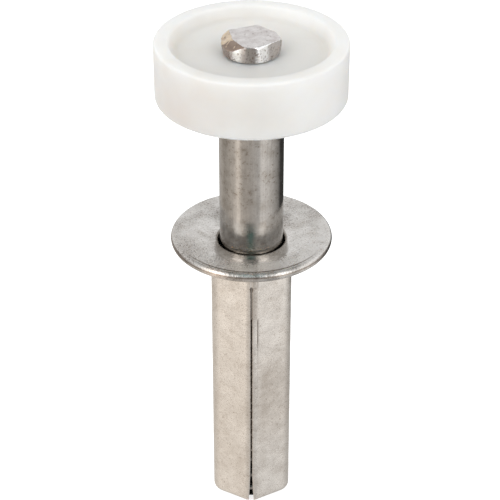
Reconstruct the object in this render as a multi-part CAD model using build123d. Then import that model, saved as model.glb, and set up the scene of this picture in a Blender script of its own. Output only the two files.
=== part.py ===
from build123d import *
import os
from math import cos, radians, sin, tan

# Guide wheel for the top edge of a bifold door.
# A nylon wheel turns on the riveted end of a steel plunger. The plunger is turned from hexagon bar and
# slides in a hexagonal barrel that is folded from sheet steel, with a hemmed flange round its mouth. The
# barrel is driven into a hole in the door's edge up to the flange. A coil spring in it holds the plunger out.
# Millimetres. The origin is on the axis at the flange's underside, +Z points at the wheel, and the barrel's
# seam runs down its corner at -Y.

# Barrel and flange, one folded sheet
SHEET = 0.70
BARREL_ACROSS_FLATS = 11.11
BARREL_CORNER_RADIUS = 2.0
BARREL_LENGTH = 42.35
END_BEND_RADIUS = 1.15
END_LIP_WIDTH = 1.75
END_OPENING_CORNER_RADIUS = 0.5
FLANGE_DIAMETER = 22.2
HEM_GAP = 0.04
DISH_WIDTH = 2.74
DISH_SLOPE = 18
DISH_BEND_RADIUS = 3.4
NECK_CLEARANCE = 0.20
NECK_BEND_RADIUS = 0.75
NECK_DROP = 0.8

# Seam of the barrel: its widths across the gap, and the heights above the barrel's end where they are reached
SEAM_TOP_DROP = 4.0
SEAM_WIDTH = 0.14
SEAM_EYE_DIAMETER = 0.32
SEAM_SPREAD_HEIGHT = 11.0
SEAM_MID_HEIGHT = 4.8
SEAM_MID_WIDTH = 0.30
SEAM_END_WIDTH = 0.80

# Plunger, one piece of steel
FOOT_CLEARANCE = 0.08
FOOT_STOP_CLEARANCE = 0.05
FOOT_LENGTH = 8.0
STEM_TURNED_DEPTH = 0.415
STEM_REACH = 22.35
SHOULDER_WIDTH = 1.06
SHOULDER_CHAMFER = 0.25
SPIGOT_CLEARANCE = 0.25
SPIGOT_LENGTH = 2.5
SPIGOT_CHAMFER = 0.5

# Riveted head of the plunger
HEAD_LEDGE = 0.40
HEAD_FLARE = 0.45
HEAD_HEIGHT = 2.35
# Hammer flats: direction round the axis in degrees, depth that the flat takes off the head's round top edge,
# and lean of the flat from upright in degrees
HAMMER_FLATS = [
    (112, 1.60, 22),
    (46, 1.37, 16),
    (20, 0.90, 14),
    (-50, 0.65, 4),
    (-84, 0.30, 3),
    (-120, 0.40, 8),
    (165, 0.45, 38),
    (190, 1.55, 54),
    (212, 1.35, 46),
]

# Wheel
WHEEL_DIAMETER = 25.4
WHEEL_WIDTH = 7.94
WHEEL_EDGE_RADIUS = 0.40
WHEEL_END_PLAY = 0.10
JOURNAL_CLEARANCE = 0.08
BORE_CHAMFER = 0.3
RIM_WIDTH = 1.9
RIM_INNER_RADIUS = 0.35
RECESS_DEPTH = 1.75
RECESS_SLOPE_WIDTH = 0.75
RECESS_FILLET = 0.8

# Spring
WIRE_DIAMETER = 0.90
SPRING_TO_BARREL = 0.55
SPRING_ACTIVE_TURNS = 10
SPRING_CLOSED_TURNS = 1
SPRING_SEAT_CLEARANCE = 0.03

# Sizes that follow
FLANGE_THICKNESS = 2 * SHEET + HEM_GAP
BORE_ACROSS_FLATS = BARREL_ACROSS_FLATS - 2 * SHEET
BORE_CORNER_RADIUS = BARREL_CORNER_RADIUS - SHEET
BORE_FLOOR_Z = -BARREL_LENGTH + SHEET
END_OPENING_ACROSS_FLATS = BARREL_ACROSS_FLATS - 2 * END_LIP_WIDTH
FOOT_ACROSS_FLATS = BORE_ACROSS_FLATS - 2 * FOOT_CLEARANCE
FOOT_CORNER_RADIUS = BORE_CORNER_RADIUS - FOOT_CLEARANCE
STEM_RADIUS = FOOT_ACROSS_FLATS / 2 - STEM_TURNED_DEPTH
NECK_RADIUS = STEM_RADIUS + NECK_CLEARANCE
JOURNAL_RADIUS = STEM_RADIUS - SHOULDER_WIDTH
HEAD_FOOT_RADIUS = JOURNAL_RADIUS + HEAD_LEDGE
HEAD_TOP_RADIUS = HEAD_FOOT_RADIUS + HEAD_FLARE
WHEEL_BOTTOM_Z = STEM_REACH + WHEEL_END_PLAY
WHEEL_TOP_Z = WHEEL_BOTTOM_Z + WHEEL_WIDTH
RECESS_FLOOR_Z = WHEEL_TOP_Z - RECESS_DEPTH
HEAD_FOOT_Z = RECESS_FLOOR_Z + WHEEL_END_PLAY
HEAD_TOP_Z = HEAD_FOOT_Z + HEAD_HEIGHT
SPRING_RADIUS = BORE_ACROSS_FLATS / 2 - SPRING_TO_BARREL
SPIGOT_RADIUS = SPRING_RADIUS - WIRE_DIAMETER - SPIGOT_CLEARANCE


def corner_reach(across_flats, corner_radius):
    """Distance from the axis to the outermost point of a rounded hexagon's corner."""
    return (across_flats / 2 - corner_radius) / cos(radians(30)) + corner_radius


MOUTH_RADIUS = NECK_RADIUS + NECK_BEND_RADIUS
# The flange is flat outside this radius and dips towards the mouth inside it
DISH_RADIUS = MOUTH_RADIUS + DISH_WIDTH

BARREL_REACH = corner_reach(BARREL_ACROSS_FLATS, BARREL_CORNER_RADIUS)
BORE_REACH = corner_reach(BORE_ACROSS_FLATS, BORE_CORNER_RADIUS)
# The bore is fully hexagonal below this height, and the plunger's foot stops against what is above it
BORE_HEXAGON_TOP_Z = -NECK_DROP - (BORE_REACH - NECK_RADIUS)
FOOT_TOP_Z = BORE_HEXAGON_TOP_Z - FOOT_STOP_CLEARANCE
FOOT_BOTTOM_Z = FOOT_TOP_Z - FOOT_LENGTH


def rounded_hexagon(across_flats, corner_radius):
    """Hexagon with rounded corners, one of them at -Y."""
    outline = RegularPolygon(across_flats / 2, 6, major_radius=False, rotation=30)
    return fillet(outline.vertices(), corner_radius)


def hexagon_bar(across_flats, corner_radius, low_z, high_z):
    """Upright hexagonal bar between two heights."""
    return Pos(0, 0, low_z) * extrude(rounded_hexagon(across_flats, corner_radius), high_z - low_z)


def turned(points):
    """Solid of revolution about the axis from an outline of (radius, height) points."""
    outline = Polyline(*[(r, 0, z) for r, z in points], close=True)
    return revolve(make_face(outline), Axis.Z)


def neck_cone(neck_radius):
    """Round envelope that widens downward at 45 degrees from the neck's lower end."""
    end_radius = neck_radius + BARREL_LENGTH - NECK_DROP
    return turned([(0, -NECK_DROP), (neck_radius, -NECK_DROP), (end_radius, -BARREL_LENGTH), (0, -BARREL_LENGTH)])


def on_circle(centre_r, centre_z, radius, angle):
    """Point on a circle in the XZ plane at an angle in degrees from +X towards +Z."""
    return (centre_r + radius * cos(radians(angle)), 0, centre_z + radius * sin(radians(angle)))


def bend(centre_r, centre_z, radius, start_angle, end_angle):
    """Arc in the XZ plane between two angles of a circle."""
    angles = (start_angle, (start_angle + end_angle) / 2, end_angle)
    return ThreePointArc(*[on_circle(centre_r, centre_z, radius, a) for a in angles])


def flange():
    """Hemmed ring: top layer that dips to the rolled mouth, full round rim and the layer folded back under it."""
    neck_outer = NECK_RADIUS + SHEET
    fold_r = (FLANGE_DIAMETER - FLANGE_THICKNESS) / 2
    hem_r = DISH_RADIUS + SHEET / 2
    top_z = FLANGE_THICKNESS
    under_z = top_z - SHEET
    dish_z = top_z - DISH_BEND_RADIUS
    slope = radians(DISH_SLOPE)
    mouth_z = dish_z + (DISH_BEND_RADIUS - NECK_BEND_RADIUS) / cos(slope) - DISH_WIDTH * tan(slope)
    edge = 90 + DISH_SLOPE
    cone_low = on_circle(MOUTH_RADIUS, mouth_z, NECK_BEND_RADIUS, edge)
    cone_high = on_circle(DISH_RADIUS, dish_z, DISH_BEND_RADIUS, edge)
    under_cone_high = on_circle(DISH_RADIUS, dish_z, DISH_BEND_RADIUS - SHEET, edge)
    under_cone_low = on_circle(MOUTH_RADIUS, mouth_z, NECK_BEND_RADIUS - SHEET, edge)
    edges = [
        Line((NECK_RADIUS, 0, -NECK_DROP), (NECK_RADIUS, 0, mouth_z)),
        bend(MOUTH_RADIUS, mouth_z, NECK_BEND_RADIUS, 180, edge),
        Line(cone_low, cone_high),
        bend(DISH_RADIUS, dish_z, DISH_BEND_RADIUS, edge, 90),
        Line((DISH_RADIUS, 0, top_z), (fold_r, 0, top_z)),
        bend(fold_r, top_z / 2, top_z / 2, 90, -90),
        Line((fold_r, 0, 0), (hem_r, 0, 0)),
        bend(hem_r, SHEET / 2, SHEET / 2, 270, 90),
        Line((hem_r, 0, SHEET), (fold_r, 0, SHEET)),
        Line((fold_r, 0, SHEET), (fold_r, 0, under_z)),
        Line((fold_r, 0, under_z), (DISH_RADIUS, 0, under_z)),
        bend(DISH_RADIUS, dish_z, DISH_BEND_RADIUS - SHEET, 90, edge),
        Line(under_cone_high, under_cone_low),
        bend(MOUTH_RADIUS, mouth_z, NECK_BEND_RADIUS - SHEET, edge, 180),
        Line((neck_outer, 0, mouth_z), (neck_outer, 0, -NECK_DROP)),
        Line((neck_outer, 0, -NECK_DROP), (NECK_RADIUS, 0, -NECK_DROP)),
    ]
    return revolve(make_face(Wire(edges)), Axis.Z)


def barrel():
    """Hexagonal tube, its top drawn in to the round neck and its bottom edge turned inward."""
    outer = hexagon_bar(BARREL_ACROSS_FLATS, BARREL_CORNER_RADIUS, -BARREL_LENGTH, -NECK_DROP)
    outer = fillet(outer.faces().sort_by(Axis.Z)[0].edges(), END_BEND_RADIUS)
    outer &= neck_cone(NECK_RADIUS + SHEET)
    bore = hexagon_bar(BORE_ACROSS_FLATS, BORE_CORNER_RADIUS, BORE_FLOOR_Z, -NECK_DROP)
    bore = fillet(bore.faces().sort_by(Axis.Z)[0].edges(), END_BEND_RADIUS - SHEET)
    bore &= neck_cone(NECK_RADIUS)
    opening = hexagon_bar(END_OPENING_ACROSS_FLATS, END_OPENING_CORNER_RADIUS, -BARREL_LENGTH, BORE_FLOOR_Z)
    return outer - bore - opening


def seam():
    """Gap between the sheet's two edges: a fine slit that spreads towards the barrel's end."""
    half_gap = [
        (SEAM_WIDTH / 2, -SEAM_TOP_DROP),
        (SEAM_WIDTH / 2, -BARREL_LENGTH + SEAM_SPREAD_HEIGHT),
        (SEAM_MID_WIDTH / 2, -BARREL_LENGTH + SEAM_MID_HEIGHT),
        (SEAM_END_WIDTH / 2, -BARREL_LENGTH),
    ]
    other_half = [(-x, z) for x, z in reversed(half_gap)]
    slit = make_face(Polyline(*[(x, 0, z) for x, z in half_gap + other_half], close=True))
    eye = Pos(0, 0, -SEAM_TOP_DROP) * Rot(90, 0, 0) * Circle(SEAM_EYE_DIAMETER / 2)
    return extrude(slit, BARREL_REACH, dir=(0, -1, 0)) + extrude(eye, BARREL_REACH, dir=(0, -1, 0))


def bushing():
    """Flange, neck and barrel of one folded sheet."""
    return flange() + barrel() - seam()


def head():
    """Riveted end of the plunger, flattened and chipped by the hammer."""
    head = turned([
        (0, HEAD_FOOT_Z),
        (HEAD_FOOT_RADIUS, HEAD_FOOT_Z),
        (HEAD_TOP_RADIUS, HEAD_TOP_Z),
        (0, HEAD_TOP_Z),
    ])
    chip_sides = (2 * HEAD_TOP_RADIUS, 4 * HEAD_TOP_RADIUS, 3 * HEAD_HEIGHT)
    chip = Box(*chip_sides, align=(Align.MIN, Align.CENTER, Align.CENTER))
    for direction, depth, lean in HAMMER_FLATS:
        head -= Rot(0, 0, direction) * Pos(HEAD_TOP_RADIUS - depth, 0, HEAD_TOP_Z) * Rot(0, -lean, 0) * chip
    return head


def plunger():
    """Stem with a hexagonal foot and a spring spigot below, and the wheel's journal and its head above."""
    spigot_z = FOOT_BOTTOM_Z - SPIGOT_LENGTH
    foot = hexagon_bar(FOOT_ACROSS_FLATS, FOOT_CORNER_RADIUS, FOOT_BOTTOM_Z, FOOT_TOP_Z)
    shaft = turned([
        (0, HEAD_FOOT_Z),
        (JOURNAL_RADIUS, HEAD_FOOT_Z),
        (JOURNAL_RADIUS, STEM_REACH),
        (STEM_RADIUS - SHOULDER_CHAMFER, STEM_REACH),
        (STEM_RADIUS, STEM_REACH - SHOULDER_CHAMFER),
        (STEM_RADIUS, FOOT_BOTTOM_Z),
        (SPIGOT_RADIUS, FOOT_BOTTOM_Z),
        (SPIGOT_RADIUS, spigot_z + SPIGOT_CHAMFER),
        (SPIGOT_RADIUS - SPIGOT_CHAMFER, spigot_z),
        (0, spigot_z),
    ])
    return shaft + foot + head()


def rings(solid, radius, height):
    """The circular edges of a turned solid at a radius and a height."""
    circles = solid.edges().filter_by(GeomType.CIRCLE)
    return circles.filter_by(lambda e: abs(e.radius - radius) < 0.01 and abs(e.arc_center.Z - height) < 0.01)


def wheel():
    """Nylon wheel: plain tread and underside, and a raised rim round a shallow recess on top."""
    tread = WHEEL_DIAMETER / 2
    rim_inner = tread - RIM_WIDTH
    recess = rim_inner - RECESS_SLOPE_WIDTH
    bore = JOURNAL_RADIUS + JOURNAL_CLEARANCE
    wheel = turned([
        (bore + BORE_CHAMFER, WHEEL_BOTTOM_Z),
        (tread, WHEEL_BOTTOM_Z),
        (tread, WHEEL_TOP_Z),
        (rim_inner, WHEEL_TOP_Z),
        (recess, RECESS_FLOOR_Z),
        (bore, RECESS_FLOOR_Z),
        (bore, WHEEL_BOTTOM_Z + BORE_CHAMFER),
    ])
    wheel = fillet(rings(wheel, tread, WHEEL_BOTTOM_Z) + rings(wheel, tread, WHEEL_TOP_Z), WHEEL_EDGE_RADIUS)
    wheel = fillet(rings(wheel, rim_inner, WHEEL_TOP_Z), RIM_INNER_RADIUS)
    return fillet(rings(wheel, recess, RECESS_FLOOR_Z), RECESS_FILLET)


def coil(start_z, height, turns, start_turn):
    """Round wire wound for some turns about the axis, its centre line starting at a height."""
    path = Pos(0, 0, start_z) * Rot(0, 0, 360 * start_turn) * Helix(
        height / turns, height, SPRING_RADIUS - WIRE_DIAMETER / 2
    )
    return sweep(Plane(path @ 0, z_dir=path % 0) * Circle(WIRE_DIAMETER / 2), path)


def spring():
    """Coil spring with closed ends, ground flat, from the barrel's turned-in end to the plunger's foot."""
    low = BORE_FLOOR_Z + SPRING_SEAT_CLEARANCE
    high = FOOT_BOTTOM_Z - SPRING_SEAT_CLEARANCE
    closed = SPRING_CLOSED_TURNS * WIRE_DIAMETER
    wound_turns = SPRING_CLOSED_TURNS + SPRING_ACTIVE_TURNS
    spring = coil(low, closed, SPRING_CLOSED_TURNS, 0)
    spring += coil(low + closed, high - low - 2 * closed, SPRING_ACTIVE_TURNS, SPRING_CLOSED_TURNS)
    spring += coil(high - closed, closed, SPRING_CLOSED_TURNS, wound_turns)
    room = Cylinder(2 * SPRING_RADIUS, high - low, align=(Align.CENTER, Align.CENTER, Align.MIN))
    return spring & (Pos(0, 0, low) * room)


os.makedirs("parts", exist_ok=True)
export_step(bushing(), "parts/bushing.step")
export_step(plunger(), "parts/plunger.step")
export_step(wheel(), "parts/wheel.step")
export_step(spring(), "parts/spring.step")
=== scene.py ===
import math

import bmesh
import bpy
from bpy.props import FloatProperty, FloatVectorProperty, IntProperty, PointerProperty
from bpy.types import Operator, Panel, PropertyGroup
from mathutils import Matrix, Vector, noise


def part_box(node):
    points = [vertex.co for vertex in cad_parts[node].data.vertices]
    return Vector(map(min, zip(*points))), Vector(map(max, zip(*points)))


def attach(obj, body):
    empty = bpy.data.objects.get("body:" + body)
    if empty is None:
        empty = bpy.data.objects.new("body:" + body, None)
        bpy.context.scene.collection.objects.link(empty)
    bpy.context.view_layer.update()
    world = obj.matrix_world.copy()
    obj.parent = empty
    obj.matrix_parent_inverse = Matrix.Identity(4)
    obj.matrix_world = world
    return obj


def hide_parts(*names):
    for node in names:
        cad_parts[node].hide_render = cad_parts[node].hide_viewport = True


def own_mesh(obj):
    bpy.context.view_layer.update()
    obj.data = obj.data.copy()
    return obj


bl_info = {
    "name": "Bifold door guide wheel",
    "version": (1, 0, 0),
    "blender": (4, 5, 0),
    "location": "View3D > Sidebar > Guide wheel",
    "description": "Dresses the packed guide wheel: nylon wheel, riveted plunger, folded bushing and spring",
    "category": "Add Mesh",
}

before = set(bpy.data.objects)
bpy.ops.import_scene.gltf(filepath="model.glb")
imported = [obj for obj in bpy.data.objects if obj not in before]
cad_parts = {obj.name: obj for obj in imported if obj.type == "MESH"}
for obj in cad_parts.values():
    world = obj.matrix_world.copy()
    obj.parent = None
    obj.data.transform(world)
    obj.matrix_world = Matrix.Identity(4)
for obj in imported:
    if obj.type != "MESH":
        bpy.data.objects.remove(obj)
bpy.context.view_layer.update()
MM = 0.001
WHEEL_LOW, WHEEL_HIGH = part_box("wheel")
BUSHING_LOW, BUSHING_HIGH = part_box("bushing")
PLUNGER_LOW, PLUNGER_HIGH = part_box("plunger")
SPRING_LOW, SPRING_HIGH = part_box("spring")


# Property helpers

def length(name, description, default):
    """A length in metres that a user may change."""
    return FloatProperty(name=name, description=description, default=default, min=0.0, unit="LENGTH",
                         subtype="DISTANCE", precision=5)


def height(name, description, default):
    """A height on the axis in metres, which may be below the flange."""
    return FloatProperty(name=name, description=description, default=default, unit="LENGTH",
                         subtype="DISTANCE", precision=5)


def colour(name, description, default):
    """A linear colour."""
    return FloatVectorProperty(name=name, description=description, default=default, min=0.0, max=1.0,
                               size=3, subtype="COLOR")


def angle(name, description, default):
    """An angle in radians, shown in degrees."""
    return FloatProperty(name=name, description=description, default=math.radians(default),
                         unit="ROTATION", subtype="ANGLE")


# Settings

class WheelSettings(PropertyGroup):
    """Sizes and colour of the nylon wheel."""
    diameter: length("Diameter", "Across the tread", WHEEL_HIGH.x - WHEEL_LOW.x)
    bottom: height("Underside", "Height of the flat underside", WHEEL_LOW.z)
    top: height("Rim", "Height of the raised rim", WHEEL_HIGH.z)
    edge_radius: length("Edge radius", "Rounding of the tread's two edges", 0.40 * MM)
    rim_width: length("Rim width", "Flat width of the raised rim", 1.9 * MM)
    rim_radius: length("Rim inner radius", "Rounding of the rim's inner edge", 0.35 * MM)
    recess_depth: length("Recess depth", "From the rim down to the recess", 1.75 * MM)
    slope_width: length("Recess slope", "How far the recess wall leans inward", 0.75 * MM)
    recess_fillet: length("Recess fillet", "Rounding at the foot of the recess wall", 0.8 * MM)
    bore_radius: length("Bore radius", "Running bore on the journal", 3.38 * MM)
    bore_chamfer: length("Bore chamfer", "Break of the bore's lower edge", 0.3 * MM)
    segments: IntProperty(name="Segments", description="Faces round the wheel", default=288, min=48)
    nylon: colour("Nylon", "Colour of the moulding", (0.875, 0.87, 0.855))


class PlungerSettings(PropertyGroup):
    """Sizes and colours of the steel plunger."""
    stem_radius: length("Stem radius", "Turned stem", 4.36 * MM)
    journal_radius: length("Journal radius", "Journal through the wheel", 3.30 * MM)
    shoulder: height("Shoulder", "Height of the shoulder under the wheel", 22.35 * MM)
    shoulder_chamfer: length("Shoulder chamfer", "Break of the shoulder's edge", 0.25 * MM)
    head_foot: height("Head underside", "Height of the riveted head's underside", 28.74 * MM)
    head_top: height("Head top", "Height of the riveted head's top", PLUNGER_HIGH.z)
    head_foot_radius: length("Head foot radius", "Radius at the head's underside", 3.70 * MM)
    head_top_radius: length("Head top radius", "Radius that the head flares to", 4.15 * MM)
    foot_top: height("Foot top", "Height of the hexagonal foot's top",
                     PLUNGER_LOW.z + 10.5 * MM)
    foot_bottom: height("Foot bottom", "Height of the hexagonal foot's underside",
                        PLUNGER_LOW.z + 2.5 * MM)
    foot_across_flats: length("Foot across flats", "Hexagonal foot", 9.55 * MM)
    foot_corner_radius: length("Foot corner radius", "Rounding of the foot's corners", 1.22 * MM)
    spigot_radius: length("Spigot radius", "Spigot inside the spring", 3.155 * MM)
    spigot_chamfer: length("Spigot chamfer", "Break of the spigot's edge", 0.5 * MM)
    segments: IntProperty(name="Segments", description="Faces round the plunger", default=240, min=48)
    steel: colour("Steel", "Colour of the turned steel", (0.44, 0.42, 0.395))
    rivet: colour("Riveted end", "Colour of the hammered end", (0.82, 0.79, 0.78))


class BushingSettings(PropertyGroup):
    """Sizes and colour of the folded sheet bushing."""
    sheet: length("Sheet", "Thickness of the sheet", 0.70 * MM)
    across_flats: length("Across flats", "Hexagonal barrel", 11.11 * MM)
    corner_radius: length("Corner radius", "Rounding of the barrel's corners", 2.0 * MM)
    end_bend: length("End bend", "Outer radius where the end turns inward", 1.15 * MM)
    end_lip: length("End lip", "How far the end is turned in", 1.75 * MM)
    flange_diameter: length("Flange diameter", "Across the flange", BUSHING_HIGH.x - BUSHING_LOW.x)
    flange_top: height("Flange top", "Height of the flange's top face", BUSHING_HIGH.z)
    barrel_end: height("Barrel end", "Height of the barrel's lower end", BUSHING_LOW.z)
    hem_reach: length("Hem reach", "Radius where the folded hem ends", 8.05 * MM)
    neck_radius: length("Neck radius", "Bore of the round neck", 4.56 * MM)
    neck_bend: length("Neck bend", "Radius of the mouth's rolled edge", 0.75 * MM)
    dish_radius: length("Dish radius", "Radius inside which the flange dips", 8.05 * MM)
    dish_bend: length("Dish bend", "Radius of the bend where the flange starts to dip", 3.4 * MM)
    dish_slope: angle("Dish slope", "How steeply the flange dips to its mouth", 18)
    neck_drop: length("Neck drop", "How far the round neck goes below the flange", 0.8 * MM)
    seam_top: length("Seam top", "How far below the flange the open seam begins", 4.0 * MM)
    seam_width: length("Seam width", "Width of the seam along most of the barrel", 0.14 * MM)
    seam_spread: length("Seam spread", "Height over which the seam widens", 11.0 * MM)
    seam_end_width: length("Seam end width", "Width of the seam at the end", 0.80 * MM)
    zinc: colour("Zinc", "Colour of the plated sheet", (0.80, 0.765, 0.72))
    # Near black as painted shade of the barrel's inside, as well as the bare steel's brown
    bore: colour("Bore", "Colour of the barrel's bare inside", (0.075, 0.055, 0.042))


class SpringSettings(PropertyGroup):
    """Sizes and colour of the coil spring."""
    wire: length("Wire", "Diameter of the wire", 0.90 * MM)
    radius: length("Radius", "Outer radius of the coil", 4.305 * MM)
    turns: IntProperty(name="Active turns", description="Turns between the closed ends", default=10, min=2)
    travel: length("Travel", "How far the plunger is pushed in", 20 * MM)
    wire_colour: colour("Wire colour", "Colour of the spring wire", (0.36, 0.34, 0.32))


class StageSettings(PropertyGroup):
    """Camera, floor and light."""
    lens: FloatProperty(name="Lens", description="Focal length for a 36 mm sensor", default=122.4, min=10.0,
                        unit="CAMERA")
    camera_place: FloatVectorProperty(name="Camera", description="Where the camera stands",
                                      default=(-0.000192, -0.198781, 0.124929), size=3,
                                      subtype="TRANSLATION", precision=5)
    camera_dip: angle("Camera dip", "How far the camera looks down", 32.49)
    floor_radius: length("Floor radius", "Radius of the round floor", 1.2)
    # The dark floor there is a painted shadow
    hidden_radius: length("Hidden radius", "Radius of the dark floor inside the barrel's open end", 4.2 * MM)
    floor_colour: colour("Floor colour", "Colour of the floor", (0.74, 0.74, 0.735))
    floor_glow: FloatProperty(name="Floor glow", description="Light that the floor gives off to the camera",
                              default=0.75, min=0.0)
    tent_strength: FloatProperty(name="Tent strength", description="Brightness of the light tent",
                                 default=1.0, min=0.0)


# Outlines

def corner_arc(before, corner, after, radius, steps):
    """Points of the arc that rounds one corner of an outline in a plane."""
    to_before = (Vector(before) - Vector(corner)).normalized()
    to_after = (Vector(after) - Vector(corner)).normalized()
    half = to_before.angle(to_after) / 2
    middle = (to_before + to_after).normalized()
    centre = Vector(corner) + middle * (radius / math.sin(half))
    start = Vector(corner) + to_before * (radius / math.tan(half)) - centre
    end = Vector(corner) + to_after * (radius / math.tan(half)) - centre
    sweep = math.pi - 2 * half
    points = []
    for i in range(steps + 1):
        t = i / steps
        arm = start * math.sin((1 - t) * sweep) + end * math.sin(t * sweep)
        points.append(centre + arm / math.sin(sweep))
    return points


def rounded_outline(corners, steps=8):
    """Closed outline of (radius, height) points from corners that each give their rounding."""
    outline = []
    for i, (r, z, radius) in enumerate(corners):
        before = corners[i - 1][:2]
        after = corners[(i + 1) % len(corners)][:2]
        if radius > 0:
            outline += corner_arc(before, (r, z), after, radius, steps)
        else:
            outline.append(Vector((r, z)))
    return outline


def arc(centre_r, centre_z, radius, start, end, steps):
    """Points of an arc of (radius, height) points, its angles in degrees from outward to upward."""
    points = []
    for i in range(steps + 1):
        a = math.radians(start + (end - start) * i / steps)
        points.append(Vector((centre_r + radius * math.cos(a), centre_z + radius * math.sin(a))))
    return points


def spaced(outline, step, closed=True):
    """The same outline with points added where two lie further apart than the step."""
    result = []
    count = len(outline)
    for i in range(count if closed else count - 1):
        here, there = Vector(outline[i]), Vector(outline[(i + 1) % count])
        pieces = max(1, math.ceil((there - here).length / step))
        result += [here.lerp(there, k / pieces) for k in range(pieces)]
    if not closed:
        result.append(Vector(outline[-1]))
    return result


# Mesh helpers

def finish_mesh(name, bm, materials, body, sharp_degrees=35):
    """Turns a bmesh into a shaded object that rides on a CAD body."""
    bmesh.ops.remove_doubles(bm, verts=bm.verts, dist=1e-7)
    bmesh.ops.recalc_face_normals(bm, faces=bm.faces)
    mesh = bpy.data.meshes.new(name)
    bm.to_mesh(mesh)
    bm.free()
    mesh.shade_smooth()
    mesh.set_sharp_from_angle(angle=math.radians(sharp_degrees))
    for material in materials:
        mesh.materials.append(material)
    piece = bpy.data.objects.new(name, mesh)
    bpy.context.scene.collection.objects.link(piece)
    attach(piece, body)
    return piece


def skin(bm, rings, closed_rings=True):
    """Quads between successive rings of vertices, and from the last to the first if the rings are closed."""
    faces = []
    count = len(rings)
    for i in range(count if closed_rings else count - 1):
        here, there = rings[i], rings[(i + 1) % count]
        for j in range(len(here)):
            k = (j + 1) % len(here)
            faces.append(bm.faces.new((here[j], here[k], there[k], there[j])))
    return faces


def fine_noise(point, size, seed):
    """Smooth noise from about -1 to 1 whose lumps are as large as the size."""
    return noise.noise(Vector(point) / size + Vector((seed * 17.3, seed * 5.1, seed * 9.7)))


# Material helpers

def new_material(name):
    """A new node material, its node tree and its surface shader."""
    material = bpy.data.materials.new(name)
    material.use_nodes = True
    tree = material.node_tree
    shader = next(n for n in tree.nodes if n.type == "BSDF_PRINCIPLED")
    return material, tree, shader


def place_coordinates(tree, stretch=(1, 1, 1)):
    """The piece's own coordinates in metres, stretched."""
    coordinates = tree.nodes.new("ShaderNodeTexCoord")
    mapping = tree.nodes.new("ShaderNodeMapping")
    mapping.inputs["Scale"].default_value = stretch
    tree.links.new(coordinates.outputs["Object"], mapping.inputs["Vector"])
    return mapping.outputs["Vector"]


def axis_values(tree, vector):
    """The sockets X, Y and Z of a place."""
    node = tree.nodes.new("ShaderNodeSeparateXYZ")
    tree.links.new(vector, node.inputs["Vector"])
    return node.outputs


def noise_field(tree, vector, size, detail=4.0, roughness=0.55):
    """A noise texture whose lumps are about as large as the size."""
    node = tree.nodes.new("ShaderNodeTexNoise")
    node.inputs["Scale"].default_value = 1 / size
    node.inputs["Detail"].default_value = detail
    node.inputs["Roughness"].default_value = roughness
    tree.links.new(vector, node.inputs["Vector"])
    return node.outputs["Fac"]


def ramp(tree, value, stops):
    """A colour ramp over a value. A stop is a place and a grey or a colour."""
    node = tree.nodes.new("ShaderNodeValToRGB")
    elements = node.color_ramp.elements
    while len(elements) > 1:
        elements.remove(elements[-1])
    for i, (place, tone) in enumerate(stops):
        element = elements[0] if i == 0 else elements.new(place)
        element.position = place
        rgb = tone if isinstance(tone, tuple) else (tone, tone, tone)
        element.color = (*rgb, 1)
    tree.links.new(value, node.inputs["Fac"])
    return node.outputs["Color"]


def scaled(tree, value, low, high, new_low=0.0, new_high=1.0):
    """A value moved from one range to another and held inside it."""
    node = tree.nodes.new("ShaderNodeMapRange")
    for socket, number in zip(("From Min", "From Max", "To Min", "To Max"), (low, high, new_low, new_high)):
        node.inputs[socket].default_value = number
    tree.links.new(value, node.inputs["Value"])
    return node.outputs["Result"]


def mixed(tree, factor, first, second, mode="MIX"):
    """Two colours mixed. Either may be a socket or a plain colour."""
    node = tree.nodes.new("ShaderNodeMix")
    node.data_type = "RGBA"
    node.blend_type = mode
    for name, value in (("A", first), ("B", second)):
        socket = next(s for s in node.inputs if s.name == name and s.type == "RGBA")
        if isinstance(value, tuple):
            socket.default_value = (*value, 1)
        else:
            tree.links.new(value, socket)
    fac = next(s for s in node.inputs if s.name == "Factor" and s.type == "VALUE")
    if isinstance(factor, float):
        fac.default_value = factor
    else:
        tree.links.new(factor, fac)
    return next(s for s in node.outputs if s.type == "RGBA")


def calculated(tree, operation, first, second=0.0):
    """One step of arithmetic on two values. Either may be a socket or a plain number."""
    node = tree.nodes.new("ShaderNodeMath")
    node.operation = operation
    for socket, value in zip(node.inputs, (first, second)):
        if isinstance(value, (int, float)):
            socket.default_value = value
        else:
            tree.links.new(value, socket)
    return node.outputs["Value"]


def times(tree, first, second):
    """The product of two values."""
    return calculated(tree, "MULTIPLY", first, second)


def plus(tree, first, second):
    """The sum of two values."""
    return calculated(tree, "ADD", first, second)


def minus(tree, first, second):
    """The first value less the second."""
    return calculated(tree, "SUBTRACT", first, second)


def multiplied(tree, first, second):
    """Two colours multiplied by each other."""
    return mixed(tree, 1.0, first, second, "MULTIPLY")


def bumped(tree, shader, heights):
    """Bump from several (height socket, depth in metres) pairs, laid over each other."""
    normal = None
    for value, depth in heights:
        node = tree.nodes.new("ShaderNodeBump")
        node.inputs["Strength"].default_value = 1.0
        node.inputs["Distance"].default_value = depth
        tree.links.new(value, node.inputs["Height"])
        if normal is not None:
            tree.links.new(normal, node.inputs["Normal"])
        normal = node.outputs["Normal"]
    tree.links.new(normal, shader.inputs["Normal"])


def distance_out(tree, axes):
    """Distance from the object's axis."""
    across = times(tree, axes["X"], axes["X"])
    along = times(tree, axes["Y"], axes["Y"])
    return calculated(tree, "SQRT", plus(tree, across, along))


def soft_patch_field(tree, vector, place, reach, wander):
    """From 1 at a place to 0 at a reach from it, its edge broken up by a noise."""
    far = tree.nodes.new("ShaderNodeVectorMath")
    far.operation = "DISTANCE"
    far.inputs[1].default_value = place
    tree.links.new(vector, far.inputs[0])
    distance = plus(tree, far.outputs["Value"], times(tree, wander, reach))
    return scaled(tree, distance, reach * 0.5, reach * 1.5, 1.0, 0.0)


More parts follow.
